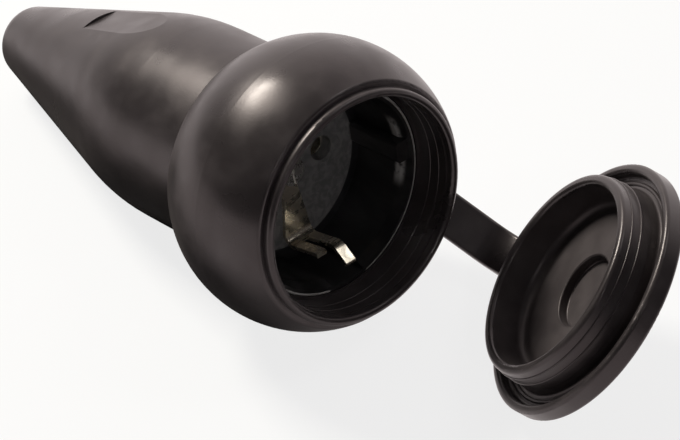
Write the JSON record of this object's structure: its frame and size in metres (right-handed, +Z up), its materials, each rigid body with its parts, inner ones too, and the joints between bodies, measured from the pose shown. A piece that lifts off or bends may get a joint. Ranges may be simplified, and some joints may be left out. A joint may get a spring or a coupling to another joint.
{
  "type": "rubber cable coupler",
  "caption": "Earthed trailing socket in a tapered black rubber body, its round plug well sealed by a dished rubber cap that swings on a strap.",
  "frame": {"origin": "under the middle of the bounding box, on the table that the coupler lies on", "axes": "+X level, from the tail towards the mouth; +Z up; the mouth's axis is pitched up from +X by 11.51 degrees, as the coupler lies on its head, its tail and the cap's rim"},
  "size_m": [0.174, 0.0752, 0.0592],
  "materials": {
    "rubber": "satin moulded rubber",
    "insert_plastic": "moulded thermoset, matte",
    "carrier_plastic": "moulded plastic, matte",
    "brass": "bright stamped brass",
    "steel": "zinc plated steel"
  },
  "bodies": {
    "coupler": {"rubber_body": "rubber", "cap_strap": "rubber", "socket_insert": "insert_plastic", "contact_carrier": "carrier_plastic", "live_contact": "brass", "neutral_contact": "brass", "live_clamp_ring": "steel", "neutral_clamp_ring": "steel", "earth_bow": "brass", "earth_terminal": "brass", "centre_screw": "steel", "live_terminal_screw": "steel", "neutral_terminal_screw": "steel", "earth_terminal_screw": "steel", "clamp_bridge": "carrier_plastic", "clamp_screw_far": "steel", "clamp_screw_near": "steel"},
    "cap": {"sealing_cap": "rubber"}
  },
  "joints": [
    {"name": "cap_swing", "type": "hinge", "parent": "coupler", "child": "cap", "pos_m": [0.02778, 0.02128, 0.00409], "axis": [-0.2509, 0.6953, 0.6735], "range_deg": [-65.94, 75], "deforming": ["cap_strap"]}
  ]
}
